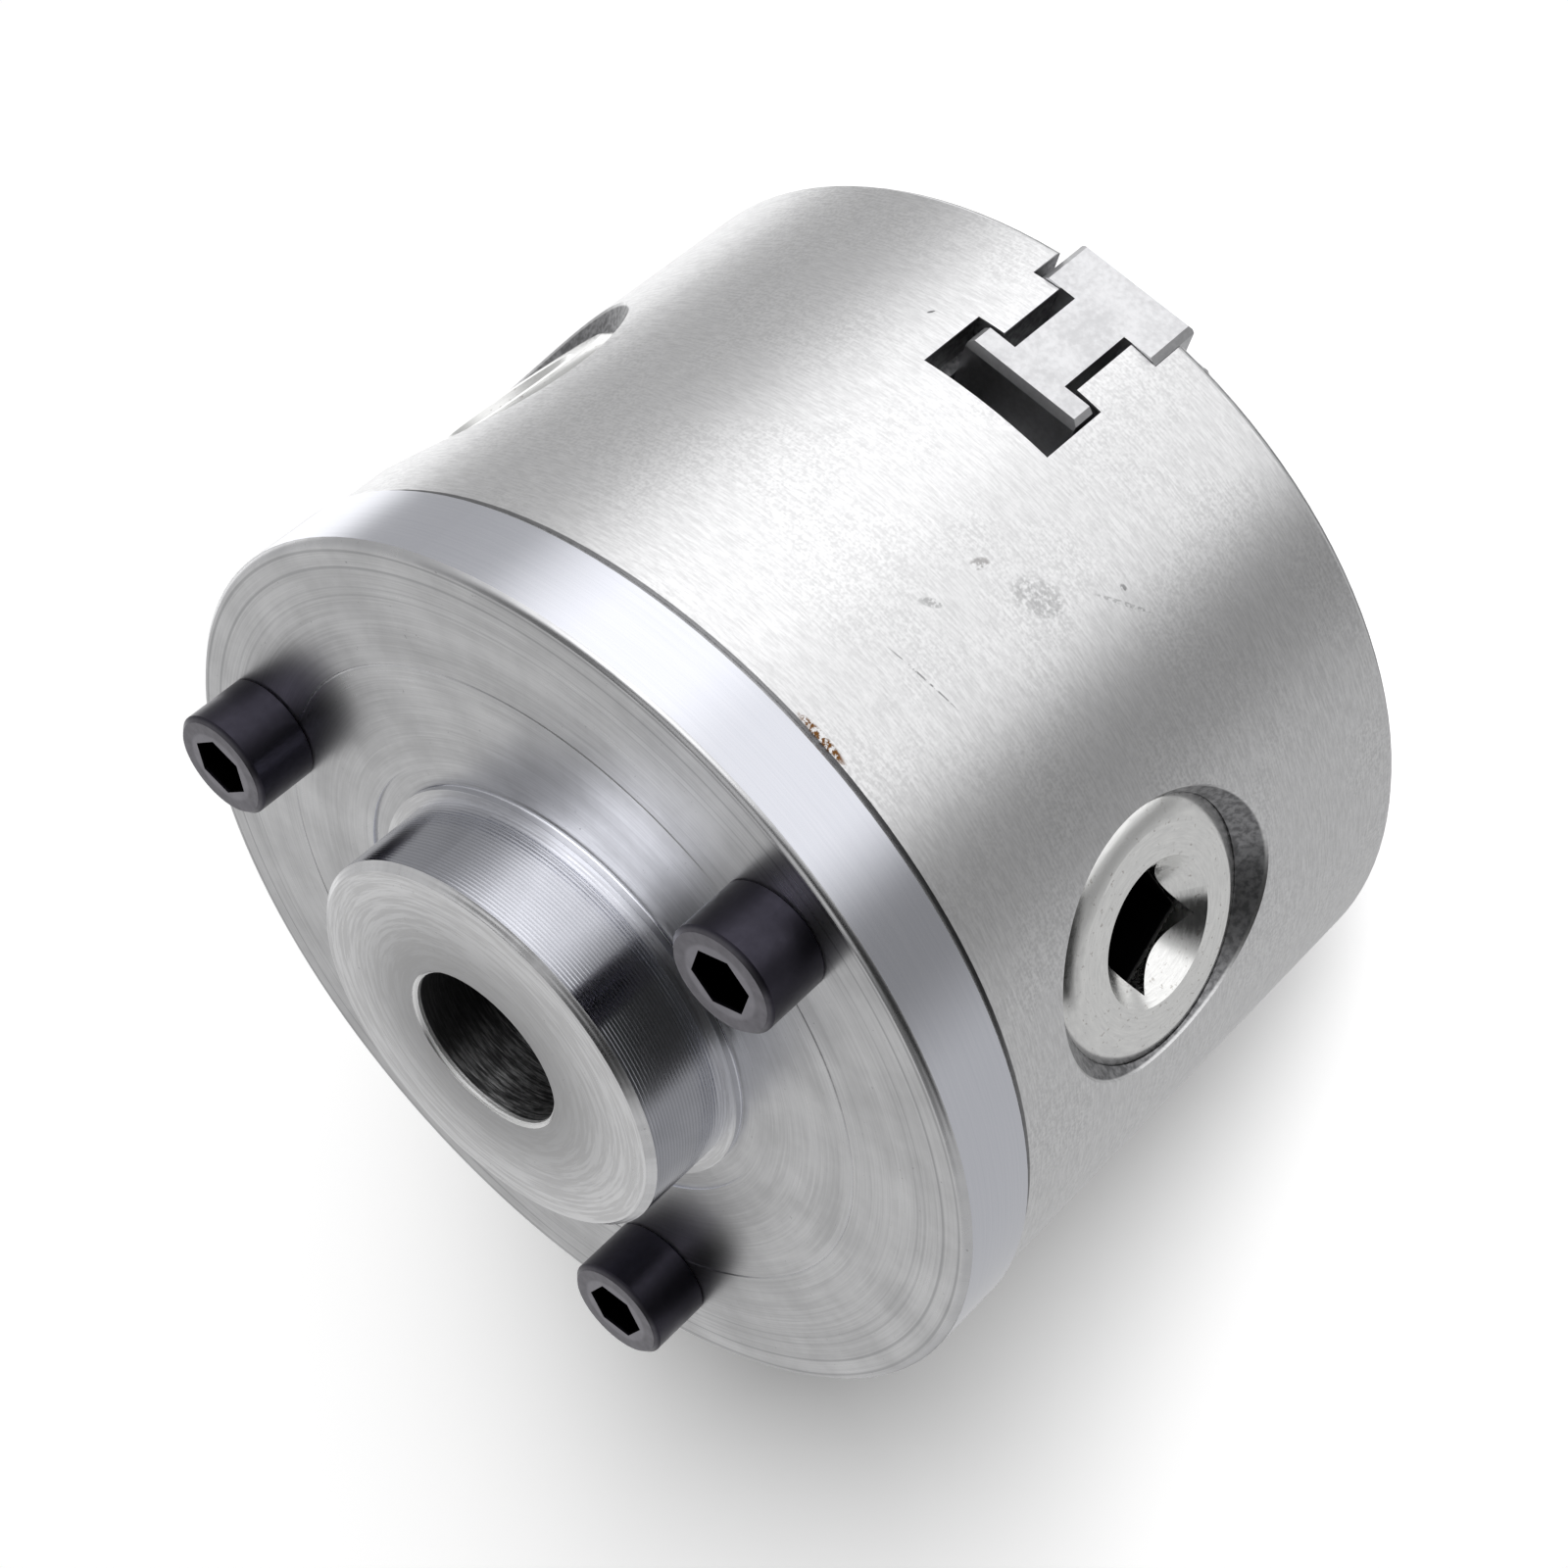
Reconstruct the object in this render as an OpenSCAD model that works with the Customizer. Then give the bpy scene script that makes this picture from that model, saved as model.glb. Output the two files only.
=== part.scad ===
// Self-centring lathe chuck with its back plate bolted on.
// It stands on the highest faces of its three jaws, hub upward, the axis on Z.
// Units are millimetres. jaw_1 points to -30 degrees, key pinion_1 to -90.

/* [Body] */
// Outside diameter of the chuck body
body_d = 80; // [74:0.5:100]
// Length of the body from its front face to the back plate seam
body_h = 48.4; // [46:0.1:60]
// Bevel on the body's outer edge at the seam
body_edge = 0.3; // [0.1:0.05:1]
// Rim bevel of the front face, along the axis
rim_edge_h = 0.7; // [0.2:0.1:1.5]
// Rim bevel of the front face, on radius
rim_edge_w = 0.4; // [0.2:0.1:1.5]
// Hole right through the chuck
through_d = 16; // [10:0.5:17]
// Outside diameter of the central boss that the scroll turns on
boss_d = 22; // [20:0.5:23]
// Running gap between scroll and boss, on radius
scroll_fit = 0.05; // [0.02:0.01:0.1]

/* [Back plate] */
// How far the flange stands out past the body, on radius
plate_over = 0.45; // [0:0.05:1]
// Thickness of the flange
plate_t = 7.6; // [5:0.1:12]
// Bevel on the flange edges
plate_edge = 0.55; // [0.2:0.05:1.5]
// Hub diameter
hub_d = 35; // [28:0.5:40]
// Hub height above the flange
hub_h = 8.8; // [5:0.1:14]
// Bevel round the end of the hub
hub_edge = 0.6; // [0.2:0.1:2]
// Plain pilot bore for the spindle
pilot_d = 14.5; // [10:0.5:16]
// Countersink of the pilot bore, on radius
pilot_edge = 0.3; // [0.1:0.1:1]
// Width of the turned fillet step at the foot of the hub
foot_step_w = 1.1; // [0.5:0.1:1.5]
// Height of that step
foot_step_h = 0.5; // [0.2:0.1:1]
// Width of the shallow turned recess round the step
recess_w = 2; // [1:0.1:3]
// Depth of that recess
recess_depth = 0.25; // [0.1:0.05:0.6]
// Diameter of the scribed circle on the flange face
scribe_d = 59.2; // [50:0.1:60]
// Width and depth of the scribed line
scribe_w = 0.2; // [0.1:0.05:0.5]
// Diameter of the register that centres the plate in the chuck
register_d = 55; // [50:0.5:57]
// Height of the register
register_h = 3.2; // [2:0.1:3.4]
// Gap round the register, on radius
register_fit = 0.03; // [0.01:0.01:0.1]

/* [Mounting screws] */
// Diameter of the circle that the three mounting screws stand on
bolt_circle = 64.3; // [64:0.1:66]
// Thread diameter
bolt_d = 6; // [5:0.5:6]
// Length under the head
bolt_l = 16; // [14:1:18]
// Head diameter
bolt_head_d = 9.4; // [8.5:0.1:10]
// Head height
bolt_head_h = 5.7; // [5:0.1:6]
// Rounding bevel at the rim of the head
bolt_head_edge = 0.4; // [0.1:0.1:0.8]
// Hexagon socket across flats
bolt_hex = 4.8; // [4:0.1:5]
// Depth of the hexagon socket
bolt_hex_depth = 3.2; // [2:0.1:3.6]
// Clearance of the hole in the flange, on radius
bolt_hole_gap = 0.3; // [0.1:0.05:0.5]
// Gap between thread and tapped hole, on radius
thread_gap = 0.05; // [0.02:0.01:0.1]

/* [Rear cover] */
// Thickness of the cover
cover_t = 6; // [5:0.1:6.2]
// Depth of the register recess in the cover
cover_recess = 3.5; // [3.4:0.1:3.8]
// Gap round the cover, on radius
cover_fit = 0.03; // [0.01:0.01:0.1]
// Outside diameter of the sleeve that carries the pinion noses
sleeve_d = 29; // [27:0.5:30]
// Land between the plate's register and the heads of the cover screws
cover_land = 0.5; // [0.3:0.1:1]
// Rim of the cover outside those heads
cover_rim = 1; // [0.5:0.1:2]
// Cover screw thread diameter
cover_bolt_d = 4; // [3:0.5:4]
// Cover screw length under the head
cover_bolt_l = 9; // [6:1:10]
// Cover screw head diameter
cover_head_d = 7; // [6:0.1:7]
// Cover screw head height
cover_head_h = 3.6; // [2.5:0.1:3.8]
// Cover screw socket across flats
cover_hex = 3; // [2.5:0.5:3]

/* [Scroll] */
// Outside diameter of the scroll
scroll_d = 54; // [52:0.5:54]
// Gap round the scroll in its cavity, on radius
scroll_gap = 0.4; // [0.2:0.1:0.6]
// Pitch of the spiral thread
pitch = 5; // [4.8:0.1:5.4]
// Width of the spiral ridge
ridge_w = 2.3; // [2:0.05:2.4]
// Inner radius where the spiral ridge starts
ridge_r0 = 12.4; // [11.8:0.1:13]
// Angle step of the spiral, in degrees
ridge_step = 5; // [3:1:6]
// Teeth on the bevel ring of the scroll, three pinions share them
gear_teeth = 36; // [30:3:42]
// Inner radius of the bevel teeth
gear_r0 = 17; // [16.5:0.1:18]

/* [Pinions] */
// Depth of the pinion axis below the back plate seam
pinion_z = 18.6; // [18.2:0.1:19]
// Teeth on each bevel pinion
pinion_teeth = 9; // [8:1:10]
// Head diameter
pinion_d = 21.4; // [20:0.1:22]
// How deep the pinion's outer face lies below the body's outside
pinion_inset = 1.05; // [0.5:0.05:1.5]
// Bevel of the outer face, on radius
pinion_edge_w = 1.75; // [0.5:0.05:2]
// Bevel of the outer face, along the pinion's axis
pinion_edge_h = 0.9; // [0.4:0.05:1.5]
// Running gap round the pinion head, on radius
pinion_fit = 0.04; // [0.02:0.01:0.1]
// Diameter of the pinion bore's 45 degree countersink at the body's outside
mouth_d = 25.2; // [23:0.1:26]
// Square key socket across flats
key_af = 7.6; // [6:0.1:8]
// Depth of the key socket
key_depth = 10; // [7:0.5:10]
// Turn of the square of pinion_1 about its own axis
key_turn = 22; // [0:1:45]
// Mouth diameter of the socket's countersink
key_mouth_d = 12.2; // [11.5:0.1:13]
// Distance of the pinion shoulder from the chuck axis
shoulder = 27.7; // [27.6:0.1:28.2]
// Nose diameter
nose_d = 6; // [5:0.1:6.2]
// Distance of the retaining groove from the chuck axis
groove_at = 31.5; // [31:0.1:32]
// Retaining pin diameter
pin_d = 3; // [2.5:0.1:3]
// Free side gap of the pin in the groove
pin_gap = 0.1; // [0.05:0.01:0.15]
// How deep the pin lies in the groove
pin_bite = 1.9; // [1.5:0.1:2.1]
// Flank play of the bevel teeth at the rim
backlash = 0.16; // [0.1:0.01:0.25]

/* [Jaws] */
// Radius of the jaw tips as the chuck stands here
tip_r = 8; // [7:0.1:9]
// Radius of the jaws' outer ends as the chuck stands here
tail_r = 40; // [39:0.1:41]
// Width of the jaw head
jaw_head_w = 11.3; // [10.8:0.1:11.5]
// Width of the jaw web between the two guide grooves
jaw_web_w = 4.9; // [4.4:0.1:5.2]
// Width of the jaw foot
jaw_foot_w = 10.7; // [10:0.1:10.9]
// Thickness of the jaw foot
jaw_foot_t = 2.2; // [2:0.1:2.4]
// Height of the outer step above the body face
step_1 = 1.6; // [1:0.1:4]
// Height of the middle step above the body face
step_2 = 9; // [7:0.1:10]
// Height of the inner step above the body face
step_3 = 14.6; // [13:0.1:18]
// Radius where the middle step starts
step_2_r = 29.2; // [27:0.1:33]
// Radius where the inner step starts
step_3_r = 18.2; // [16:0.1:20.5]
// Bevel on the top edge of each step
jaw_edge = 0.3; // [0.1:0.1:0.8]
// Bevel on the upright outer corners of the head
jaw_corner = 0.55; // [0.2:0.05:1]
// Bevel on the upright outer corners of the foot
foot_corner = 0.45; // [0.2:0.05:1]
// Long bevel on the foot's outer edge, on radius
foot_bevel_w = 0.8; // [0.4:0.1:1.2]
// The same bevel along the axis
foot_bevel_h = 0.3; // [0.1:0.1:0.6]
// Half width of the flat on the jaw tip
tip_flat = 0.75; // [0.5:0.05:1.2]
// Height of the jaw teeth
tooth_h = 3.1; // [2.8:0.1:3.3]
// Thickness of a jaw tooth
tooth_w = 2.4; // [2.2:0.02:2.46]
// Farthest the jaws go in from here
travel_in = 6; // [4:0.5:6]
// Farthest the jaws go out from here
travel_out = 4; // [2:0.5:5]
// Sliding gap round the jaw in its guide
jaw_fit = 0.06; // [0.03:0.01:0.1]

/* [Jaw slots] */
// Depth of the wide slot for the jaw head
head_slot = 3.6; // [3:0.1:4]
// Thickness of the guide tongues
tongue = 6.8; // [6:0.1:7.5]
// Height of the foot opening at the body's outside
foot_slot = 6.6; // [6.4:0.1:7]
// Head slot width at its relieved outer end
mouth_head_w = 12.2; // [12.2:0.1:13]
// Web slot width at its relieved outer end
mouth_web_w = 7.2; // [6:0.1:7.5]
// Foot slot width at its outer end
mouth_foot_w = 12.1; // [11.6:0.1:12.5]
// Extra height over the foot at the outer end
mouth_top = 0.6; // [0.3:0.1:0.8]
// Length of the relieved outer end
mouth_l = 4; // [2:0.5:5]
// How far that relief stands to the side of the jaw's middle
mouth_shift = 0.35; // [0:0.05:0.4]

/* [Hidden] */
$fn = 96;
eps = 0.01;
body_r = body_d / 2;
plate_r = body_r + plate_over;
z_front = step_3;
z_seam = z_front + body_h;
z_plate = z_seam + plate_t;
z_hub = z_plate + hub_h;
z_pin = z_seam - pinion_z;
z_cover = z_seam - cover_t;
z_tongue_0 = z_front + head_slot;
z_tongue_1 = z_tongue_0 + tongue;
z_foot_0 = z_tongue_1 + mouth_top;
z_foot_1 = z_foot_0 + jaw_foot_t;
crest_gap = 0.2;
z_crest = z_foot_1 + crest_gap;
z_tip = z_foot_1 + tooth_h;
z_root = z_tip + crest_gap;
z_slot_end = z_tongue_1 + foot_slot;
cavity_r = scroll_d / 2 + scroll_gap;
cover_bolt_circle = register_d + cover_head_d + 2 * cover_land;
cover_d = cover_bolt_circle + cover_head_d + 2 * cover_rim;
boss_r = boss_d / 2;
sleeve_gap = 0.08;
ratio = gear_teeth / pinion_teeth;
pinion_face = body_r - pinion_inset;
// The jaws stand a little off the middle between two pinions
jaw_angles = [-30.86, 89.14, 209.14];
cover_angles = [-30, 90, 210];
pinion_angles = [-90, 30, 150];
bolt_angles = [-60, 60, 180];
// How far each mounting screw is turned about its own axis
bolt_turns = [28, 51, 12];
spiral_lead = pitch / (2 * PI);
flank_ease = 0.3;
screw_floor_gap = 1.2;

// Bevel set, measured for one millimetre of distance from the chuck axis
pressure = 20;
shift = 0.4;
unit_m = 2 / gear_teeth;
unit_rp = 1 / ratio;
unit_ra = unit_rp + 1.2 * unit_m;
unit_rf = unit_rp - (1.25 - shift) * unit_m;
unit_rb = unit_rp * cos(pressure);
unit_play = backlash / (scroll_d / 2);
gear_top = unit_rp - 0.65 * unit_m;
gear_root = unit_rp + 1.45 * unit_m;
gear_gap = (PI / 2 + 2 * shift * tan(pressure)) * unit_m;
foot_flare = 1.2;
z_gear_hub = z_pin - gear_top * gear_r0 - 0.5;

cast_steel = [0.70, 0.71, 0.72];
plate_steel = [0.74, 0.76, 0.79];
hard_steel = [0.60, 0.61, 0.63];
black_oxide = [0.10, 0.10, 0.12];

// A ring turned about Z from radius and height pairs
module turned(pts) { rotate_extrude() polygon(pts); }

// A block lying along +X from r0 to r1, centred on the XZ plane
module bar(r0, r1, w, z0, z1) {
    translate([r0, -w / 2, z0]) cube([r1 - r0, w, z1 - z0]);
}

// A round rod lying along +X
module rod(r0, r1, d) { translate([r0, 0, 0]) rotate([0, 90, 0]) cylinder(d = d, h = r1 - r0); }

// ---- body ----
module slot_inner() {
    w = 2 * jaw_fit;
    bar(0, body_r - mouth_l + eps, jaw_head_w + w, z_front - 1, z_tongue_0);
    bar(0, body_r - mouth_l + eps, jaw_web_w + w, z_tongue_0 - eps, z_tongue_1 + mouth_top);
    bar(0, body_r - mouth_l + eps, jaw_foot_w + w, z_foot_0 - jaw_fit, z_slot_end);
}

module slot_mouth() {
    translate([0, mouth_shift, 0]) {
        bar(body_r - mouth_l, body_r + 1, mouth_head_w, z_front - 1, z_tongue_0);
        bar(body_r - mouth_l, body_r + 1, mouth_web_w, z_tongue_0 - eps, z_tongue_1 + eps);
        bar(body_r - mouth_l, body_r + 1, mouth_foot_w, z_tongue_1, z_slot_end);
    }
}

module pinion_bore() {
    rim = mouth_d / 2;
    translate([0, 0, z_pin]) {
        rod(cavity_r - 4, body_r + 1, pinion_d + 2 * pinion_fit);
        translate([body_r - rim, 0, 0]) rotate([0, 90, 0]) cylinder(r1 = 0, r2 = rim + 1, h = rim + 1);
    }
}

module pin_place(a) {
    rotate(a) translate([groove_at, pinion_d / 2 + pin_d / 2 - pin_bite, 0]) children();
}

module chuck_body() {
    color(cast_steel) difference() {
        turned([
            [through_d / 2, z_front], [body_r - rim_edge_w, z_front],
            [body_r, z_front + rim_edge_h], [body_r, z_seam - body_edge],
            [body_r - body_edge, z_seam], [cover_d / 2 + cover_fit, z_seam],
            [cover_d / 2 + cover_fit, z_cover], [cavity_r, z_cover],
            [cavity_r, z_foot_1], [boss_r, z_foot_1],
            [boss_r, z_cover], [through_d / 2, z_cover]]);
        for (a = jaw_angles) rotate(a) { slot_inner(); slot_mouth(); }
        for (a = pinion_angles) rotate(a) pinion_bore();
        for (a = bolt_angles) rotate(a) translate([bolt_circle / 2, 0, 0]) {
            translate([0, 0, z_plate - bolt_l - screw_floor_gap])
                cylinder(d = bolt_d, h = bolt_l);
        }
        for (a = cover_angles) rotate(a) translate([cover_bolt_circle / 2, 0, 0])
            translate([0, 0, z_seam - cover_head_h - cover_bolt_l - screw_floor_gap])
                cylinder(d = cover_bolt_d, h = cover_bolt_l + 4);
        for (a = pinion_angles) pin_place(a)
            translate([0, 0, z_pin - pin_d - 0.2])
                cylinder(d = pin_d + 0.04, h = z_cover - z_pin + pin_d + 1);
    }
}

// ---- back plate ----
module back_plate() {
    step_r = hub_d / 2 + foot_step_w;
    color(plate_steel) difference() {
        turned([
            [pilot_d / 2, z_seam - register_h],
            [register_d / 2 - 0.3, z_seam - register_h],
            [register_d / 2, z_seam - register_h + 0.3],
            [register_d / 2, z_seam], [plate_r - plate_edge, z_seam],
            [plate_r, z_seam + plate_edge],
            [plate_r, z_plate - plate_edge], [plate_r - plate_edge, z_plate],
            [scribe_d / 2 + scribe_w / 2, z_plate], [scribe_d / 2, z_plate - scribe_w / 2],
            [scribe_d / 2 - scribe_w / 2, z_plate],
            [step_r + recess_w, z_plate], [step_r + recess_w, z_plate - recess_depth],
            [step_r, z_plate - recess_depth], [step_r, z_plate + foot_step_h],
            [hub_d / 2, z_plate + foot_step_h], [hub_d / 2, z_hub - hub_edge],
            [hub_d / 2 - hub_edge, z_hub], [pilot_d / 2 + pilot_edge, z_hub],
            [pilot_d / 2, z_hub - pilot_edge]]);
        for (a = bolt_angles) rotate(a) translate([bolt_circle / 2, 0, z_seam - 5])
            cylinder(d = bolt_d + 2 * bolt_hole_gap, h = plate_t + 10);
    }
}

// ---- rear cover with the sleeve for the pinion noses ----
module rear_cover() {
    rr = register_d / 2 + register_fit;
    sr = boss_r + sleeve_gap;
    color(cast_steel) difference() {
        turned([
            [through_d / 2, z_cover], [sr, z_cover], [sr, z_gear_hub + sleeve_gap],
            [sleeve_d / 2, z_gear_hub + sleeve_gap], [sleeve_d / 2, z_cover],
            [cover_d / 2, z_cover], [cover_d / 2, z_seam],
            [rr, z_seam], [rr, z_seam - cover_recess],
            [through_d / 2, z_seam - cover_recess]]);
        for (a = pinion_angles) rotate(a) translate([0, 0, z_pin])
            rod(boss_r - 1, sleeve_d / 2 + 2, nose_d + 2 * pinion_fit);
        for (a = bolt_angles) rotate(a) translate([bolt_circle / 2, 0, z_cover - 1])
            cylinder(d = bolt_d, h = cover_t + 2);
        for (a = cover_angles) rotate(a) translate([cover_bolt_circle / 2, 0, 0]) {
            translate([0, 0, z_cover - 1]) cylinder(d = cover_bolt_d + 0.4, h = cover_t + 2);
            translate([0, 0, z_seam - cover_head_h - 0.1])
                cylinder(d = cover_head_d + 0.4, h = cover_head_h + 1);
        }
    }
}

// ---- screws and pins ----
module cap_screw(d, l, hd, hh, af, depth, edge) {
    difference() {
        turned([
            [0, -l], [d / 2 - 0.5, -l], [d / 2, -l + 0.5], [d / 2, 0], [hd / 2 - 0.15, 0],
            [hd / 2, 0.15], [hd / 2, hh - edge], [hd / 2 - edge, hh], [0, hh]]);
        translate([0, 0, hh - depth]) cylinder(d = af / cos(30), h = depth + 1, $fn = 6);
    }
}

module mounting_screw(i) {
    color(black_oxide) rotate(bolt_angles[i]) translate([bolt_circle / 2, 0, z_plate])
        rotate(bolt_turns[i]) cap_screw(bolt_d - 2 * thread_gap, bolt_l, bolt_head_d, bolt_head_h,
            bolt_hex, bolt_hex_depth, bolt_head_edge);
}

module cover_screw(a) {
    color(black_oxide) rotate(a) translate([cover_bolt_circle / 2, 0, z_seam - cover_head_h - 0.1])
        cap_screw(cover_bolt_d - 2 * thread_gap, cover_bolt_l, cover_head_d,
            cover_head_h, cover_hex, 2, 0.3);
}

module pinion_pin(a) {
    color(hard_steel) pin_place(a) translate([0, 0, z_pin - pin_d])
        cylinder(d = pin_d, h = z_cover - z_pin + pin_d - 0.1);
}

// ---- bevel set ----
function inv_deg(a) = tan(a) * 180 / PI - a;
function half_tooth(r) = (gear_gap - unit_play) / (2 * unit_rp) * 180 / PI
    + inv_deg(pressure) - inv_deg(acos(min(1, unit_rb / r)));
flank_r = [for (i = [0:5]) max(unit_rb, unit_rf) + (unit_ra - max(unit_rb, unit_rf)) * i / 5];
function tooth_side(k, s) = [for (i = [0:5]) let (j = s > 0 ? 5 - i : i, r = flank_r[j],
    a = 270 + k * 360 / pinion_teeth + s * half_tooth(r)) [r * cos(a), r * sin(a)]];
function tooth_foot(k, s) = let (
    a = 270 + k * 360 / pinion_teeth + s * (half_tooth(unit_rb) + foot_flare))
    [[unit_rf * cos(a), unit_rf * sin(a)]];
pinion_loop = [for (k = [0:pinion_teeth - 1]) each concat(
    tooth_foot(k, -1), tooth_side(k, -1), tooth_side(k, 1), tooth_foot(k, 1))];

// A solid that runs from radius r0 to r1 and narrows toward the chuck axis.
// Its two ends are closed by triangles that meet at the point mid.
module toward_axis(loop, mid, r0, r1) {
    n = len(loop);
    all = concat(loop, [mid]);
    polyhedron(
        points = [for (r = [r0, r1]) for (p = all) [r, p[0] * r, p[1] * r]],
        faces = [for (i = [0:n - 1]) let (j = (i + 1) % n, k = n + 1) each
            [[n, i, j], [n + k, j + k, i + k], [i, i + k, j + k, j]]]);
}

module tooth_gap() {
    w = gear_gap / 2;
    lo = w - (gear_root - unit_rp) * tan(pressure);
    top = unit_rp - 0.16;
    hi = w + (unit_rp - top) * tan(pressure);
    toward_axis([[-lo, -gear_root], [lo, -gear_root], [hi, -top], [-hi, -top]],
        [0, -unit_rp], gear_r0 - 2, scroll_d / 2 + 2);
}

// ---- scroll ----
function ridge_mid(a) = ridge_r0 - pitch + pitch * a / 360;
ridge_turns = (scroll_d / 2 - ridge_r0) / pitch + 2.2;
ridge_pts = [for (a = [0:ridge_step:360 * ridge_turns]) a];

module spiral_ridge(z0, z1) {
    h = ridge_w / 2;
    translate([0, 0, z0]) linear_extrude(z1 - z0) polygon(concat(
        [for (a = ridge_pts) (ridge_mid(a) + h) * [cos(a), -sin(a)]],
        [for (i = [len(ridge_pts) - 1:-1:0]) let (a = ridge_pts[i])
            (ridge_mid(a) - h) * [cos(a), -sin(a)]]));
}

module scroll() {
    sb = boss_r + scroll_fit;
    z_rim = z_pin - gear_top * scroll_d / 2;
    color(hard_steel) union() {
        difference() {
            turned([
                [sb, z_root], [scroll_d / 2, z_root], [scroll_d / 2, z_rim],
                [gear_r0, z_pin - gear_top * gear_r0], [gear_r0, z_gear_hub],
                [sb, z_gear_hub]]);
            translate([0, 0, z_pin])
                for (k = [0:gear_teeth - 1]) rotate(-90 + k * 360 / gear_teeth) tooth_gap();
        }
        intersection() {
            spiral_ridge(z_crest, z_root + 0.5);
            turned([[ridge_r0, z_crest], [scroll_d / 2, z_crest],
                [scroll_d / 2, z_root + 0.5], [ridge_r0, z_root + 0.5]]);
        }
    }
}

// ---- pinions ----
module pinion(a, turn) {
    hr = pinion_d / 2;
    gr = hr - pin_bite - pin_gap;
    color(hard_steel) rotate(a) translate([0, 0, z_pin]) difference() {
        union() {
            rotate([0, 90, 0]) turned([
                [0, boss_r + sleeve_gap + 0.2], [nose_d / 2 - 0.3, boss_r + sleeve_gap + 0.2],
                [nose_d / 2, boss_r + sleeve_gap + 0.5], [nose_d / 2, gear_r0 + 1],
                [nose_d / 2, shoulder - 1], [unit_rf * shoulder, shoulder - 1],
                [unit_rf * shoulder, shoulder], [hr, shoulder],
                [hr, groove_at - pin_d / 2 - pin_gap], [gr, groove_at - pin_d / 2 - pin_gap],
                [gr, groove_at + pin_d / 2 + pin_gap], [hr, groove_at + pin_d / 2 + pin_gap],
                [hr, pinion_face - pinion_edge_h], [hr - pinion_edge_w, pinion_face],
                [0, pinion_face]]);
            toward_axis(pinion_loop, [0, 0], gear_r0, scroll_d / 2);
        }
        rotate([turn, 0, 0]) translate([pinion_face - key_depth, -key_af / 2, -key_af / 2])
            cube([key_depth + 1, key_af, key_af]);
        translate([pinion_face - key_mouth_d / 2, 0, 0]) rotate([0, 90, 0])
            cylinder(d1 = 0, d2 = key_mouth_d + 2, h = key_mouth_d / 2 + 1);
    }
}

// ---- jaws ----
// Each jaw's teeth stand one third of a pitch farther out than the last
function first_tooth(j) = ridge_mid(720 - jaw_angles[j]) - pitch / 2;
function tooth_rows(j) = [for (i = [-4:6]) let (r = first_tooth(j) + i * pitch)
    if (r > tip_r + 3.5 && r < body_r - mouth_l - 2) r];

module jaw_tooth(r) {
    ro = max(ridge_r0, r - travel_in) + tooth_w / 2 - flank_ease;
    ri = min(scroll_d / 2, r + travel_out) - tooth_w / 2 + flank_ease;
    translate([0, 0, z_foot_1 - 0.3]) linear_extrude(tooth_h + 0.3) intersection() {
        difference() {
            translate([r + tooth_w / 2 - ro, -spiral_lead]) circle(r = ro);
            translate([r - tooth_w / 2 - ri, -spiral_lead]) circle(r = ri);
        }
        translate([r - 5, -jaw_foot_w / 2]) square([10, jaw_foot_w]);
    }
}

// One storey of the jaw from z0 to z1, its two upright outer corners bevelled by c
module jaw_block(r, w, c, z0, z1) {
    translate([0, 0, z0]) linear_extrude(z1 - z0) polygon([
        [0, -w / 2], [r - c, -w / 2], [r, c - w / 2], [r, w / 2 - c], [r - c, w / 2], [0, w / 2]]);
}

// Side view that cuts the bevels of the steps' top edges and of the foot,
// as radius and height. It runs a little outside every other face.
module jaw_side() {
    e = jaw_edge;
    out = 1;
    z1 = step_3 - step_1;
    z2 = step_3 - step_2;
    slope = foot_bevel_h / foot_bevel_w;
    polygon([
        [0, -out], [step_3_r - e - out, -out], [step_3_r + out, e + out],
        [step_3_r + out, z2 - out], [step_2_r - e - out, z2 - out], [step_2_r + out, z2 + e + out],
        [step_2_r + out, z1 - out], [tail_r - e - out, z1 - out], [tail_r + out, z1 + e + out],
        [tail_r + out, z_foot_1 - foot_bevel_h - slope * out],
        [tail_r - 2 * foot_bevel_w, z_foot_1 + foot_bevel_h],
        [tail_r - 2 * foot_bevel_w, z_tip + out], [0, z_tip + out]]);
}

module jaw(j) {
    flat = tip_flat;
    far = 60;
    zt = z_tongue_0 - jaw_fit;
    color(cast_steel) rotate(jaw_angles[j]) intersection() {
        union() {
            jaw_block(step_3_r, jaw_head_w, jaw_corner, 0, zt);
            jaw_block(step_2_r, jaw_head_w, jaw_corner, step_3 - step_2, zt);
            jaw_block(tail_r, jaw_head_w, jaw_corner, step_3 - step_1, zt);
            bar(0, tail_r, jaw_web_w, z_tongue_0 - 1, z_foot_0 + 1);
            jaw_block(tail_r, jaw_foot_w, foot_corner, z_foot_0, z_foot_1);
            for (r = tooth_rows(j)) jaw_tooth(r);
        }
        translate([0, jaw_head_w, 0]) rotate([90, 0, 0]) linear_extrude(2 * jaw_head_w) jaw_side();
        // the two flats that meet the neighbouring jaws at 120 degrees
        translate([0, 0, -1]) linear_extrude(z_seam) polygon([
            [tip_r, -flat], [tip_r + far / tan(60), -flat - far], [tail_r + 20, -flat - far],
            [tail_r + 20, flat + far], [tip_r + far / tan(60), flat + far], [tip_r, flat]]);
    }
}

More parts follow.
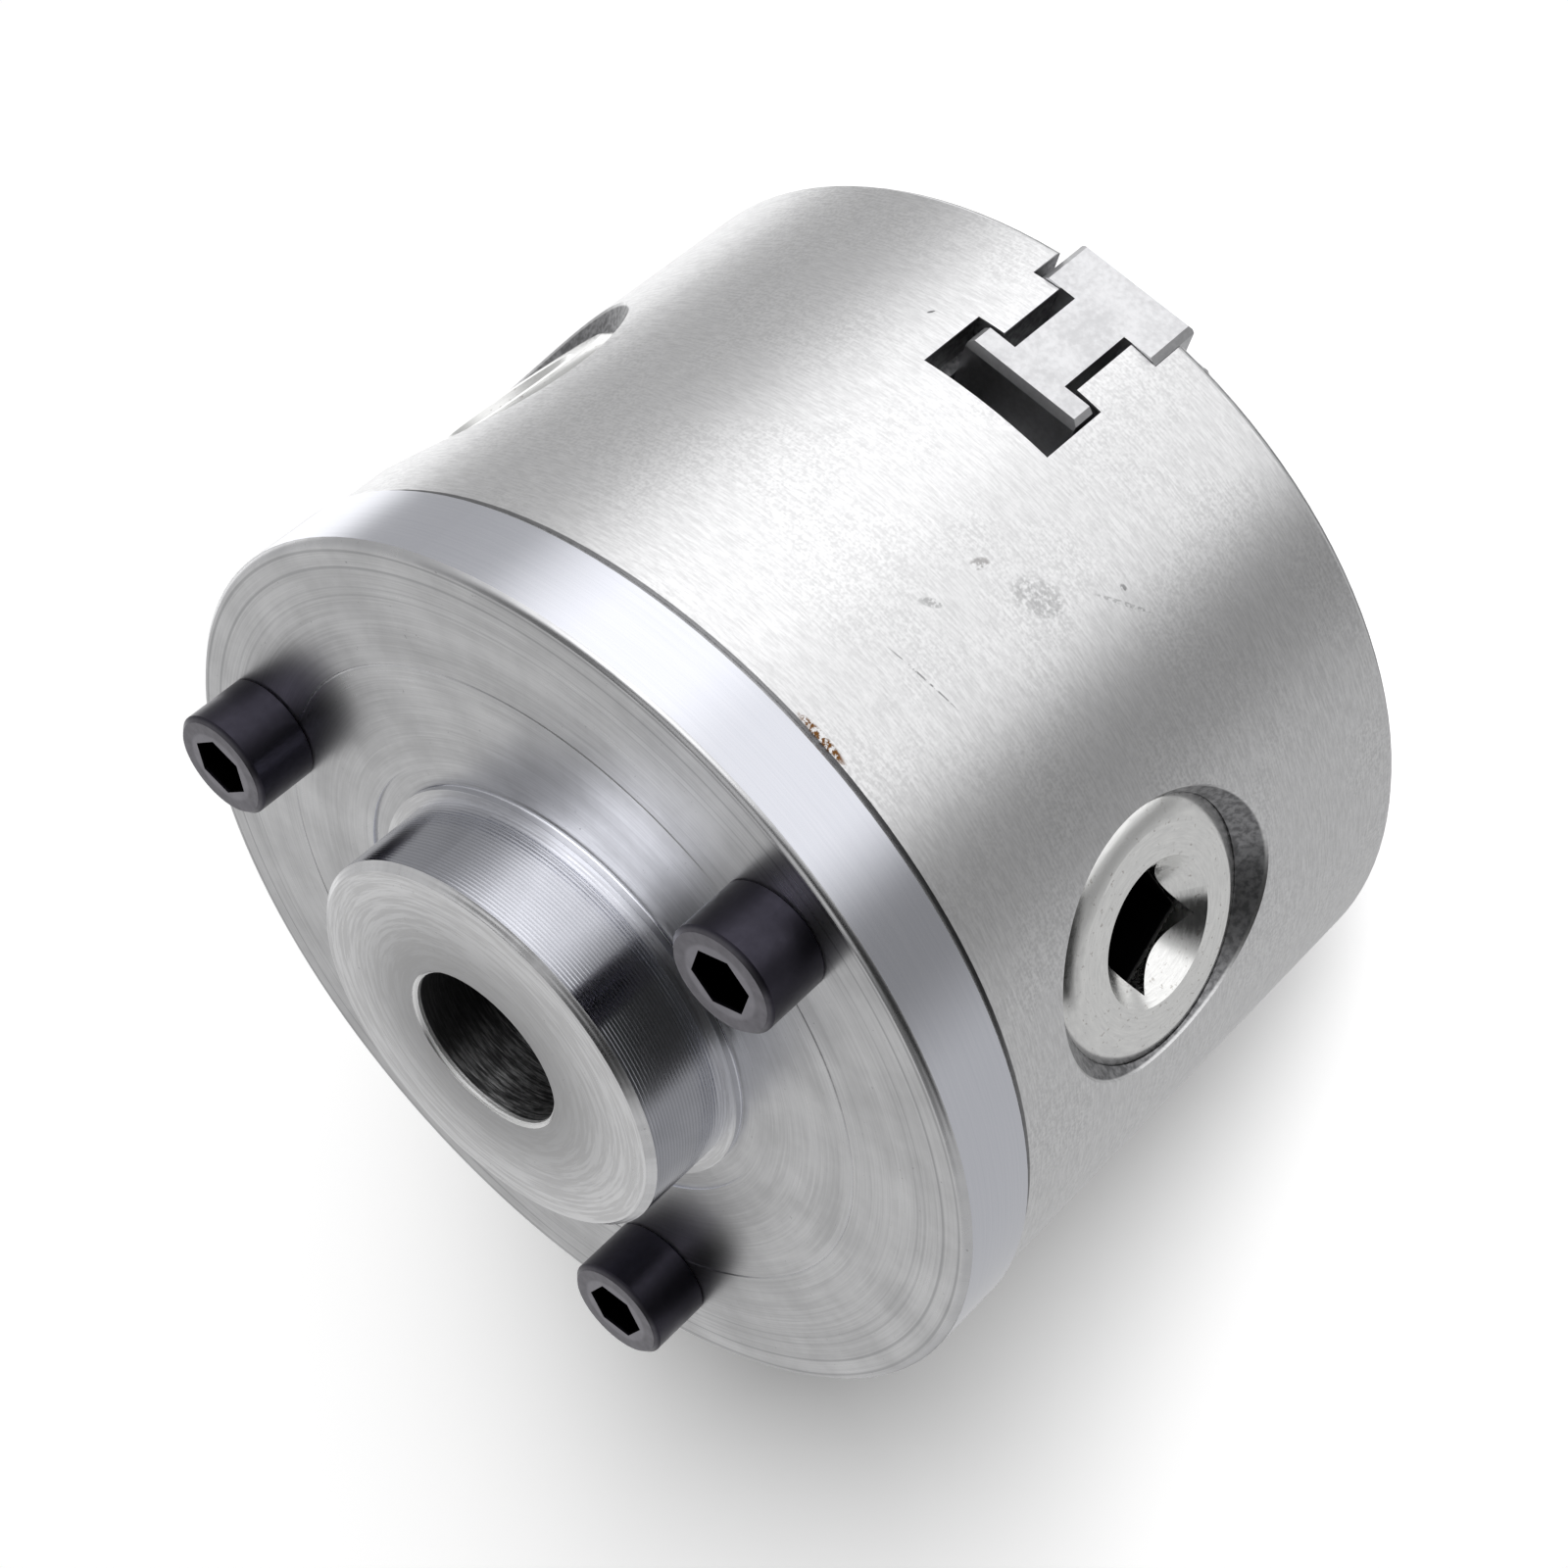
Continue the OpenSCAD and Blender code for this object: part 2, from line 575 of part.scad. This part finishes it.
module jaw_1() { jaw(0); }
module jaw_2() { jaw(1); }
module jaw_3() { jaw(2); }
module pinion_1() { pinion(pinion_angles[0], key_turn); }
module pinion_2() { pinion(pinion_angles[1], 0); }
module pinion_3() { pinion(pinion_angles[2], 0); }
module mounting_screw_1() { mounting_screw(0); }
module mounting_screw_2() { mounting_screw(1); }
module mounting_screw_3() { mounting_screw(2); }
module cover_screw_1() { cover_screw(cover_angles[0]); }
module cover_screw_2() { cover_screw(cover_angles[1]); }
module cover_screw_3() { cover_screw(cover_angles[2]); }
module pinion_pin_1() { pinion_pin(pinion_angles[0]); }
module pinion_pin_2() { pinion_pin(pinion_angles[1]); }
module pinion_pin_3() { pinion_pin(pinion_angles[2]); }

chuck_body();
back_plate();
rear_cover();
scroll();
pinion_1();
pinion_2();
pinion_3();
jaw_1();
jaw_2();
jaw_3();
mounting_screw_1();
mounting_screw_2();
mounting_screw_3();
cover_screw_1();
cover_screw_2();
cover_screw_3();
pinion_pin_1();
pinion_pin_2();
pinion_pin_3();
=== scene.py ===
"""Looks of a small self-centring lathe chuck with its back plate bolted on.

The chuck stands on its jaws, hub upward, its axis on Z. The camera is rolled, as the
photograph shows the chuck lying on its side.
"""

import math
from functools import partial

import bpy
from mathutils import Matrix, Vector

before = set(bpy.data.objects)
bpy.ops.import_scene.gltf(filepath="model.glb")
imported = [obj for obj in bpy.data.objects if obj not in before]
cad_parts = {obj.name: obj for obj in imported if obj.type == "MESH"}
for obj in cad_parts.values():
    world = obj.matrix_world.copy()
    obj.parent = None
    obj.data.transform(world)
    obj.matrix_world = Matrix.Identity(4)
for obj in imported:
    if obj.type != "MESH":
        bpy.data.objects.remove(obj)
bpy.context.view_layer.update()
MM = 0.001

# The camera in mm and degrees, from the outlines of the chuck in the photograph
CAMERA_AT = (156.75, -168.36, 178.83)
CAMERA_AIM = (0.163, 0.152, 43.588)
CAMERA_ROLL = 131.077
LENS = 74.45
SENSOR = 36

# Heights and radii of the chuck, in mm. An EDGE is the depth of a bevel, and an EDGE_R the
# radius beyond which it lies. MOUTH_R and MOUTH_Z bound the painted highlight in the bore's
# mouth.
FRONT_Z = 14.6
SEAM_Z = 63
SEAM_EDGE = 0.3
PLATE_Z = 70.6
PLATE_EDGE = 0.55
BODY_R = 40
HUB_R = 17.5
BORE_R = 7.25
MOUTH_R = 7.54
MOUTH_Z = 78.8
PINION_Z = 44.4
PINION_FACE = 38.95
PINION_EDGE = 0.9
PINION_EDGE_R = 8.5
SOCKET_R = 5.5
SOCKET_DEPTH = 2.6
SCREW_CIRCLE = 32.15
HEAD_HEIGHT = 5.7
HEXAGON_R = 3.0
JAWS = ("jaw_1", "jaw_2", "jaw_3")
PINION_ANGLES = {"pinion_1": -90, "pinion_2": 30, "pinion_3": 150}
SCREW_ANGLES = {"mounting_screw_1": -60, "mounting_screw_2": 60, "mounting_screw_3": 180}


def srgb(code):
    """A hex colour such as #8a8b8c as linear RGBA."""
    parts = [int(code[i:i + 2], 16) / 255 for i in (1, 3, 5)]
    linear = [c / 12.92 if c <= 0.04045 else ((c + 0.055) / 1.055) ** 2.4 for c in parts]
    return (*linear, 1)


# ---- shader building ----
MAIN_CHOICE = {"Math": "operation", "VectorMath": "operation", "Mix": "data_type",
               "MapRange": "interpolation_type"}


def add_node(tree, kind, *values, **settings):
    """Adds a shader node to a tree, with its settings and links.

    kind may carry the node's main choice, as in "Math ADD". values go to the sockets in
    use, in order. A capitalised setting is a socket by name, any other a property of the
    node. A node given as a value lends its first output in use.
    """
    kind, *choice = kind.split()
    node = tree.nodes.new("ShaderNode" + kind)
    if choice:
        setattr(node, MAIN_CHOICE[kind], choice[0])
    for key in settings:
        if key[0].islower():
            setattr(node, key, settings[key])
    pairs = list(zip([i for i in node.inputs if i.enabled], values))
    pairs += [(node.inputs[key.replace("_", " ")], settings[key])
              for key in settings if key[0].isupper()]
    for socket, value in pairs:
        if isinstance(value, bpy.types.Node):
            value = next(o for o in value.outputs if o.enabled)
        if isinstance(value, bpy.types.NodeSocket):
            tree.links.new(value, socket)
        else:
            socket.default_value = value
    return node


def empty_tree(owner):
    """The owner's node tree, cleared."""
    owner.use_nodes = True
    owner.node_tree.nodes.clear()
    return owner.node_tree


class Finish:
    """A material for a piece made on the lathe or grinder, measured in mm.

    at is a point on the piece's axis and turn the rotation that takes Z to that axis.
    r is the distance from the axis, z the place along it, flat 1 on faces across it, and
    groove the way the tool ran round it.
    """

    def __init__(self, name, at=(0, 0, 0), turn=(0, 0, 0)):
        self.material = bpy.data.materials.new(name)
        add = self.add = partial(add_node, empty_tree(self.material))
        coords = add("TexCoord")
        place = add("Mapping", coords.outputs["Object"], [c * MM for c in at], turn,
                    vector_type="TEXTURE")
        self.at = add("VectorMath SCALE", place, Scale=1 / MM)
        self.x, self.y, self.z = add("SeparateXYZ", self.at).outputs
        across = add("CombineXYZ", self.x, self.y)
        self.r = add("VectorMath LENGTH", across).outputs["Value"]
        normal = add("Mapping", coords.outputs["Normal"], Rotation=turn, vector_type="TEXTURE")
        self.flat = add("Math ABSOLUTE", add("SeparateXYZ", normal).outputs[2])
        round_it = add("VectorMath CROSS_PRODUCT", (0, 0, 1), across)
        along = add("Mapping", round_it, Rotation=turn, vector_type="POINT")
        self.groove = add("VectorTransform", along, vector_type="VECTOR",
                          convert_from="OBJECT", convert_to="WORLD")

    def grain(self, width, spread=0.0, detail=2.0, rough=0.5):
        """Marks about width mm wide that run round the axis. Each is about
        radius / spread mm long, and 0 makes full rings."""
        add = self.add
        share = add("Math DIVIDE", spread, add("Math MAXIMUM", self.r, 0.01))
        step = add("Math MULTIPLY", add("Math ADD", self.z, self.r), 1 / width)
        place = add("CombineXYZ", add("Math MULTIPLY", self.x, share),
                    add("Math MULTIPLY", self.y, share), step)
        return add("TexNoise", place, 1.0, detail, rough)

    def worn_edge(self, top, depth, bulge):
        """Relief that rounds the bevel from a face at top to that depth below it. bulge is
        how far its middle stands out."""
        down = self.add("MapRange LINEAR", self.z, top, top - depth)
        up = self.add("Math SUBTRACT", 1.0, down)
        return self.add("Math MULTIPLY", self.add("Math MULTIPLY", down, up), 4 * bulge)

    def mark(self, angle, height, half_long, half_wide, tilt=0.0):
        """1 inside a small ellipse on the outside of the body, 0 beyond it."""
        add = self.add
        arc = add("Math MULTIPLY", add("Math ARCTAN2", self.y, self.x), BODY_R)
        place = add("CombineXYZ", arc, self.z)
        middle = (math.radians(angle) * BODY_R, height, 0)
        inside = add("Mapping", place, middle, (0, 0, math.radians(tilt)),
                     (half_long, half_wide, 1), vector_type="TEXTURE")
        far = add("VectorMath LENGTH", inside).outputs["Value"]
        return add("MapRange SMOOTHSTEP", far, 0.7, 1.15, 1.0, 0.0)

    def finish(self, relief, **inputs):
        """Ends the tree with one surface shader. relief is in mm."""
        bump = self.add("Bump", Strength=1.0, Distance=MM, Height=relief)
        surface = self.add("BsdfPrincipled", Normal=bump, Tangent=self.groove,
                           Anisotropic_Rotation=0.25, **inputs)
        self.add("OutputMaterial", surface)
        return self.material


# Wear on the outside of the body: angle, height, half length, half width, tilt in degrees,
# how dark the mark is, and how much rust colours it
WEAR = (
    (-45.9, 62.45, 2.5, 0.42, 0, 1.0, 1.0),
    (-42.9, 42.7, 0.9, 0.5, 70, 0.5, 0.2),
    (-48.0, 52.85, 3.4, 0.08, 9, 0.65, 0.0),
    (-49.6, 40.8, 2.4, 1.6, 30, 0.3, 0.0),
    (-42.7, 48.1, 1.0, 0.4, 40, 0.4, 0.0),
    (-17.35, 27.05, 0.35, 0.12, 60, 0.8, 0.0),
    (-54.7, 34.2, 0.35, 0.25, 0, 0.6, 0.0),
    (-56.0, 35.0, 2.6, 0.18, 40, 0.4, 0.0),
)


def ground_body_steel():
    """Carbon steel ground on centres. Short fine streaks round the body give a satin sheen.
    The slots and bores are only milled and rougher, and painted shade darkens their colour."""
    f = Finish("ground_body_steel")
    add = f.add
    streaks = f.grain(0.2, 26.0, detail=3.0, rough=0.7)
    specks = add("Math SUBTRACT", add("TexNoise", f.at, 1 / 0.28, 2.0), 0.5)
    handled = add("TexNoise", f.at, 1 / 9.0, 3.0)
    handled = add("MapRange SMOOTHSTEP", handled, 0.4, 0.65, 0.2, 1.0)
    tone = add("Math MULTIPLY_ADD", specks, handled, streaks)
    tone = add("MapRange SMOOTHSTEP", tone, 0.25, 0.75)
    outside = add("Mix RGBA", tone, srgb("#cdcdce"), srgb("#e4e4e5"))
    crumbs = add("MapRange SMOOTHSTEP", add("TexNoise", f.at, 1 / 0.45, 3.0, 0.7), 0.42, 0.54)
    for *place, dark, rust in WEAR:
        here = add("Math MULTIPLY", add("Math MULTIPLY", f.mark(*place), crumbs), dark)
        stain = add("Mix RGBA", rust, srgb("#4a4a4c"), srgb("#6e4a26"))
        outside = add("Mix RGBA", here, outside, stain)
    # Painted shade: the bevel at the seam is coloured dark grey
    edge = SEAM_Z - SEAM_EDGE
    seam = add("MapRange SMOOTHSTEP", f.z, edge - 0.02, edge + 0.04, 0.0, 0.75)
    outside = add("Mix RGBA", seam, outside, srgb("#58585a"))
    # Inside the slots and bores: rougher, and coloured darker as painted shade
    within = add("MapRange SMOOTHSTEP", f.r, BODY_R - 0.28, BODY_R - 0.12, 1.0, 0.0)
    behind = add("MapRange SMOOTHSTEP", f.z, FRONT_Z + 0.05, FRONT_Z + 0.15)
    inner = add("Math MULTIPLY", within, behind)
    spots = add("MapRange SMOOTHSTEP", add("TexNoise", f.at, 1 / 0.5, 4.0, 0.6), 0.35, 0.65)
    shaded_walls = add("Mix RGBA", spots, srgb("#747476"), srgb("#a0a0a2"))
    rough = add("MapRange LINEAR", tone, 0.0, 1.0, 0.34, 0.29)
    rough = add("Math MULTIPLY_ADD", inner, 0.12, rough)
    return f.finish(add("Math MULTIPLY", streaks, 0.006),
                    Base_Color=add("Mix RGBA", inner, outside, shaded_walls),
                    Metallic=1.0, Roughness=rough, Anisotropic=0.5)


# Rings left by the turning tool on the plate's face: radius and half width in mm, and depth
# of tone
TOOL_RINGS = ((38.15, 0.10, 0.4), (36.45, 0.08, 0.2), (35.75, 0.08, 0.2), (31.2, 0.12, 0.1),
              (39.6, 0.10, 0.4))
# Feed of the tool along the side of the hub, in mm
RIB_PITCH = 0.31


def turned_plate_steel():
    """Mild steel turned on the lathe. The faces are satin with a few clear tool rings, and
    the sides were given a finer, brighter cut, which left even ribs on the hub. The bore is
    drilled and rough, its drill marks painted dark as shade on one side and lighter towards
    the -x side as painted light, with a painted highlight at its mouth."""
    f = Finish("turned_plate_steel")
    add = f.add
    face = add("MapRange SMOOTHSTEP", f.flat, 0.4, 0.8)
    hub = add("MapRange SMOOTHSTEP", f.z, PLATE_Z + 0.4, PLATE_Z + 0.5)
    bore = add("MapRange SMOOTHSTEP", f.r, BORE_R + 0.1, BORE_R + 0.2, 1.0, 0.0)
    # Painted highlight: a near-white band just inside the bore's mouth
    mouth = add("MapRange LINEAR", f.z, MOUTH_Z - 0.05, MOUTH_Z + 0.05)
    mouth = add("Math MULTIPLY", mouth, add("Math LESS_THAN", f.r, MOUTH_R))
    fine = f.grain(0.16, 3.0, detail=3.0, rough=0.6)
    bands = f.grain(1.8, 0.7)
    clouds = add("TexNoise", f.at, 1 / 6.0, 4.0, 0.6)
    nicks = add("MapRange SMOOTHSTEP", add("TexNoise", f.at, 1 / 0.5, 3.0, 0.75), 0.69, 0.73)
    tone = add("Math MULTIPLY_ADD", fine, 0.45, add("Math MULTIPLY", bands, 0.3))
    tone = add("Math MULTIPLY_ADD", clouds, 0.5, tone)
    tone = add("MapRange SMOOTHSTEP", tone, 0.4, 0.85)
    sway = add("Math MULTIPLY", f.grain(2.0, detail=2.0), 3.0)
    wave = add("Math SINE", add("Math MULTIPLY_ADD", f.z, math.tau / RIB_PITCH, sway))
    ribs = add("Math MULTIPLY", add("Math MULTIPLY_ADD", wave, 0.5, 0.5), hub)
    side = add("Mix RGBA", fine, srgb("#cdcfd7"), srgb("#dbdce3"))
    dull = add("MapRange SMOOTHSTEP", ribs, 0.4, 1.0, 0.0, 0.4)
    side = add("Mix RGBA", dull, side, srgb("#a6a7ae"))
    front = add("Mix RGBA", tone, srgb("#bdbdbe"), srgb("#dbdbdc"))
    for ring, half, depth in TOOL_RINGS:
        off = add("Math ABSOLUTE", add("Math SUBTRACT", f.r, ring))
        cut = add("MapRange SMOOTHSTEP", off, half * 0.5, half * 1.6, depth, 0.0)
        front = add("Mix RGBA", cut, front, srgb("#808184"))
    outward = add("MapRange SMOOTHSTEP", f.r, BORE_R, HUB_R - 1)
    end = add("Mix RGBA", outward, srgb("#b0b0b1"), srgb("#ebebec"))
    swirl = f.grain(0.4, 2.0, detail=4.0, rough=0.7)
    swirl = add("MapRange SMOOTHSTEP", swirl, 0.42, 0.58, 0.34, 0.0)
    end = add("Mix RGBA", swirl, end, srgb("#a09f9f"))
    front = add("Mix RGBA", hub, front, end)
    front = add("Mix RGBA", add("Math MULTIPLY", nicks, 0.5), front, srgb("#5c5c5e"))
    colour = add("Mix RGBA", face, side, front)
    # Painted light: the drill marks in the bore are lit towards its -x side and darker
    # elsewhere
    torn = f.grain(0.22, 3.0, detail=4.0, rough=0.65)
    painted_lit_side = add("MapRange SMOOTHSTEP", f.x, -2.0, -6.5, 0.15, 1.0)
    marks = add("Math MULTIPLY", add("MapRange SMOOTHSTEP", torn, 0.4, 0.7), painted_lit_side)
    drilled = add("Mix RGBA", marks, srgb("#4c4c4d"), srgb("#b2b2b3"))
    colour = add("Mix RGBA", bore, colour, drilled)
    colour = add("Mix RGBA", mouth, colour, srgb("#fafafa"))
    rough = add("MapRange LINEAR", tone, 0.0, 1.0, 0.33, 0.27)
    rough = add("Mix FLOAT", face, 0.15, rough)
    rough = add("Mix FLOAT", bore, rough, 0.5)
    relief = add("Math MULTIPLY_ADD", tone, 0.002, add("Math MULTIPLY", ribs, 0.008))
    relief = add("Math MULTIPLY_ADD", add("Math MULTIPLY", bore, torn), 0.03, relief)
    relief = add("Math ADD", relief, f.worn_edge(PLATE_Z, PLATE_EDGE, bulge=0.11))
    return f.finish(relief, Base_Color=colour, Metallic=1.0, Roughness=rough, Anisotropic=0.4)


def polished_key_steel(name, at=(0, 0, 0), turn=(0, 0, 0), face=None):
    """Hardened alloy steel, lightly polished and bright, with a few brown pits.

    face is the height of a pinion's end on its axis. The end's edge is worn round, and the
    key's square socket is painted black as shade.
    """
    f = Finish(name, at, turn)
    add = f.add
    fine = f.grain(0.2, 6.0, detail=3.0)
    pits = add("TexNoise", f.at, 1 / 0.5, 3.0, 0.7)
    pits = add("MapRange SMOOTHSTEP", pits, 0.62, 0.68, 0.0, 0.45)
    colour = add("Mix RGBA", fine, srgb("#dcdcdc"), srgb("#fcfcfa"))
    colour = add("Mix RGBA", pits, colour, srgb("#857a70"))
    rough = add("MapRange SMOOTHSTEP", fine, 0.3, 0.7, 0.27, 0.18)
    relief = add("Math MULTIPLY", fine, 0.004)
    if face is not None:
        rim = face - SOCKET_DEPTH
        below = add("MapRange SMOOTHSTEP", f.z, rim - 0.3, rim + 0.3, 1.0, 0.0)
        within = add("MapRange SMOOTHSTEP", f.r, SOCKET_R, SOCKET_R + 0.1, 1.0, 0.0)
        # Painted shade: the socket below its rim is coloured near black
        key_socket_shade = add("Math MULTIPLY", below, within)
        colour = add("Mix RGBA", key_socket_shade, colour, srgb("#0f0f10"))
        rough = add("Math MULTIPLY_ADD", key_socket_shade, 0.25, rough)
        edge = add("Math GREATER_THAN", f.r, PINION_EDGE_R)
        worn = f.worn_edge(face, PINION_EDGE, bulge=0.12)
        relief = add("Math MULTIPLY_ADD", edge, worn, relief)
    return f.finish(relief, Base_Color=colour, Metallic=1.0, Roughness=rough, Anisotropic=0.4)


def black_oxide(name, at):
    """Black oxide on alloy steel: near black with a violet cast and a soft gloss from oil.
    The end face is worn greyer, and palest round the hexagon where the key goes in."""
    f = Finish(name, at)
    add = f.add
    mottle = add("TexNoise", f.at, 1 / 0.9, 4.0, 0.6)
    side = add("Mix RGBA", mottle, srgb("#34323a"), srgb("#403e48"))
    end = add("Mix RGBA", mottle, srgb("#66646a"), srgb("#86848a"))
    near_hexagon = add("MapRange SMOOTHSTEP", f.r, HEXAGON_R, HEXAGON_R + 0.4, 0.45, 0.0)
    end = add("Mix RGBA", near_hexagon, end, srgb("#a3a1a8"))
    top = add("MapRange SMOOTHSTEP", f.z, HEAD_HEIGHT - 0.35, HEAD_HEIGHT - 0.1)
    flat_top = add("Math MULTIPLY", top, add("MapRange SMOOTHSTEP", f.flat, 0.5, 0.9))
    colour = add("Mix RGBA", flat_top, side, end)
    # Painted shade: the hexagon socket below the end face is coloured near black
    in_socket = add("MapRange SMOOTHSTEP", f.r, HEXAGON_R - 0.1, HEXAGON_R, 1.0, 0.0)
    hexagon = add("Math MULTIPLY", in_socket, add("Math SUBTRACT", 1.0, top))
    colour = add("Mix RGBA", hexagon, colour, srgb("#0d0c0e"))
    return f.finish(add("Math MULTIPLY", mottle, 0.01), Base_Color=colour, Metallic=1.0,
                    Roughness=add("MapRange SMOOTHSTEP", mottle, 0.3, 0.7, 0.38, 0.32))


def ground_jaw_steel():
    """Hardened steel ground flat on every side, with faint cloudy marks from handling."""
    f = Finish("ground_jaw_steel")
    add = f.add
    grain = add("TexNoise", f.at, 1 / 0.5, 4.0, 0.6)
    clouds = add("TexNoise", f.at, 1 / 4.0, 3.0)
    tone = add("Math MULTIPLY", add("Math ADD", grain, clouds), 0.5)
    tone = add("MapRange SMOOTHSTEP", tone, 0.35, 0.65)
    return f.finish(add("Math MULTIPLY", grain, 0.004),
                    Base_Color=add("Mix RGBA", tone, srgb("#c0c0c2"), srgb("#d2d2d4")),
                    Metallic=1.0, Roughness=add("MapRange LINEAR", tone, 0.0, 1.0, 0.38, 0.33))


def dress():
    """Gives every CAD node its finish."""
    body, plate, jaw = ground_body_steel(), turned_plate_steel(), ground_jaw_steel()
    hard = polished_key_steel("hardened_scroll_steel")
    finishes = {"chuck_body": body, "rear_cover": body, "back_plate": plate, "scroll": hard}
    for name in JAWS:
        finishes[name] = jaw
    for name, angle in PINION_ANGLES.items():
        at, turn = (0, 0, PINION_Z), (0, math.pi / 2, math.radians(angle))
        finishes[name] = polished_key_steel("polished_" + name, at, turn, PINION_FACE)
        finishes[name.replace("pinion", "pinion_pin")] = hard
    for name, angle in SCREW_ANGLES.items():
        angle = math.radians(angle)
        at = (SCREW_CIRCLE * math.cos(angle), SCREW_CIRCLE * math.sin(angle), PLATE_Z)
        finishes[name] = black_oxide("black_oxide_" + name[-1], at)
        finishes[name.replace("mounting", "cover")] = finishes[name]
    for name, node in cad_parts.items():
        node.data.materials.clear()
        node.data.materials.append(finishes[name])


# ---- studio ----
def make_camera():
    """The camera of the photograph, rolled about the line that it looks along."""
    data = bpy.data.cameras.new("camera")
    data.lens, data.sensor_width = LENS, SENSOR
    data.clip_start, data.clip_end = 0.01, 20
    camera = bpy.data.objects.new("camera", data)
    bpy.context.scene.collection.objects.link(camera)
    at, aim = Vector(CAMERA_AT) * MM, Vector(CAMERA_AIM) * MM
    ahead = (aim - at).normalized()
    level = ahead.cross(Vector((0, 0, 1))).normalized()
    top = level.cross(ahead)
    roll = math.radians(CAMERA_ROLL)
    up = top * math.cos(roll) + level * math.sin(roll)
    right = ahead.cross(up)
    turn = Matrix((right, up, -ahead)).transposed().to_4x4()
    camera.matrix_world = Matrix.Translation(at) @ turn
    bpy.context.scene.camera = camera


# What bare steel sees of the studio. Each soft-edged card has the turn and rise of its
# middle, half sizes and soft edge in degrees, and the light that it adds or takes away.
CARDS = (
    (-21, -20, 50, 60, 11, 0.74),
    (-4, -20, 20, 60, 9, 0.38),
    (-14, 34, 25, 18, 8, 1.1),
    (-91, -20, 18, 50, 14, -0.33),
    (-88, 38, 38, 30, 8, -0.9),
    (62, -20, 14, 60, 10, -0.08),
    (100, -40, 18, 35, 10, 0.95),
    (133, 33, 40, 30, 15, 0.11),
)
STUDIO_LEVEL = 0.72
DARKEST = 0.03
# The room above the cards is dark, as the edges and bevels that face it show, and a wide
# lamp straight overhead lights it again. Each has the heights in degrees at which it
# starts and is full.
DARK_FROM, DARK_LEVEL = (40.0, 60.0), 0.15
OVERHEAD_FROM, OVERHEAD_LEVEL = (64.0, 76.0), 0.8
# What everything but steel gets from all round
FILL = 0.12
STUDIO_GREY = (0.8, 0.8, 0.8, 1)

# Half the side of the square table in metres, and the white that only the camera sees on it
TABLE_HALF = 2.5
TABLE_GLOW = 0.2
# The lamp's width, turn and rise are in degrees
LAMP_ENERGY = 8.2
LAMP_WIDTH = 18
LAMP_TURN = -32
LAMP_RISE = 18


def make_world():
    """Cards for the steel to mirror, a plain fill for the rest, and white for the camera."""
    world = bpy.data.worlds.new("studio")
    bpy.context.scene.world = world
    add = partial(add_node, empty_tree(world))
    x, y, z = add("SeparateXYZ", add("TexCoord").outputs["Generated"]).outputs
    azimuth = add("Math DEGREES", add("Math ARCTAN2", y, x))
    height = add("Math DEGREES", add("Math ARCSINE", z))
    level = STUDIO_LEVEL
    for turn, rise, half_turn, half_rise, soft, light in CARDS:
        off = add("Math WRAP", add("Math SUBTRACT", azimuth, turn), 180.0, -180.0)
        up = add("Math SUBTRACT", height, rise)
        inside = [add("MapRange SMOOTHSTEP", add("Math ABSOLUTE", angle),
                      half - soft, half + soft, 1.0, 0.0)
                  for angle, half in ((off, half_turn), (up, half_rise))]
        level = add("Math MULTIPLY_ADD", add("Math MULTIPLY", *inside), light, level)
    level = add("Math MAXIMUM", level, DARKEST)
    room = add("MapRange SMOOTHSTEP", height, *DARK_FROM, 1.0, DARK_LEVEL)
    overhead = add("MapRange SMOOTHSTEP", height, *OVERHEAD_FROM, 0.0, OVERHEAD_LEVEL)
    level = add("Math MULTIPLY_ADD", level, room, overhead)
    ray = add("LightPath").outputs
    glossy = add("Background", STUDIO_GREY, level)
    fill = add("Background", STUDIO_GREY, FILL)
    white = add("Background", (1, 1, 1, 1), 1.0)
    lit = add("MixShader", ray["Is Glossy Ray"], fill, glossy)
    add("OutputWorld", add("MixShader", ray["Is Camera Ray"], lit, white))


def make_floor():
    """A pale table. The camera sees a little added white, so that only its shadow is grey.
    From below the table is clear, so that the jaws can be seen. The steel doesn't mirror
    it, because the cards already hold what the steel sees there."""
    mesh = bpy.data.meshes.new("floor")
    corners = ((-1, -1), (1, -1), (1, 1), (-1, 1))
    mesh.from_pydata([(x * TABLE_HALF, y * TABLE_HALF, 0) for x, y in corners], [],
                     [(0, 1, 2, 3)])
    floor = bpy.data.objects.new("floor", mesh)
    bpy.context.scene.collection.objects.link(floor)
    material = bpy.data.materials.new("pale_table")
    add = partial(add_node, empty_tree(material))
    seen = add("LightPath").outputs["Is Camera Ray"]
    paint = add("BsdfDiffuse", (0.9, 0.9, 0.9, 1))
    glow = add("Emission", Strength=add("Math MULTIPLY", seen, TABLE_GLOW))
    below = add("NewGeometry").outputs["Backfacing"]
    clear = add("BsdfTransparent")
    add("OutputMaterial", add("MixShader", below, add("AddShader", paint, glow), clear))
    mesh.materials.append(material)
    floor.visible_glossy = False


def make_lamp():
    """One large soft lamp on the camera's side, low enough to draw out the shadow."""
    data = bpy.data.lights.new("softbox", "SUN")
    data.energy, data.angle = LAMP_ENERGY, math.radians(LAMP_WIDTH)
    lamp = bpy.data.objects.new("softbox", data)
    bpy.context.scene.collection.objects.link(lamp)
    turn, rise = math.radians(LAMP_TURN), math.radians(LAMP_RISE)
    from_side = Vector((math.cos(turn) * math.cos(rise), math.sin(turn) * math.cos(rise),
                        math.sin(rise)))
    lamp.rotation_euler = from_side.to_track_quat("Z", "Y").to_euler()
    lamp.visible_glossy = False


make_camera()
dress()
make_world()
make_floor()
make_lamp()

scene = bpy.context.scene
scene.view_settings.view_transform = "Standard"
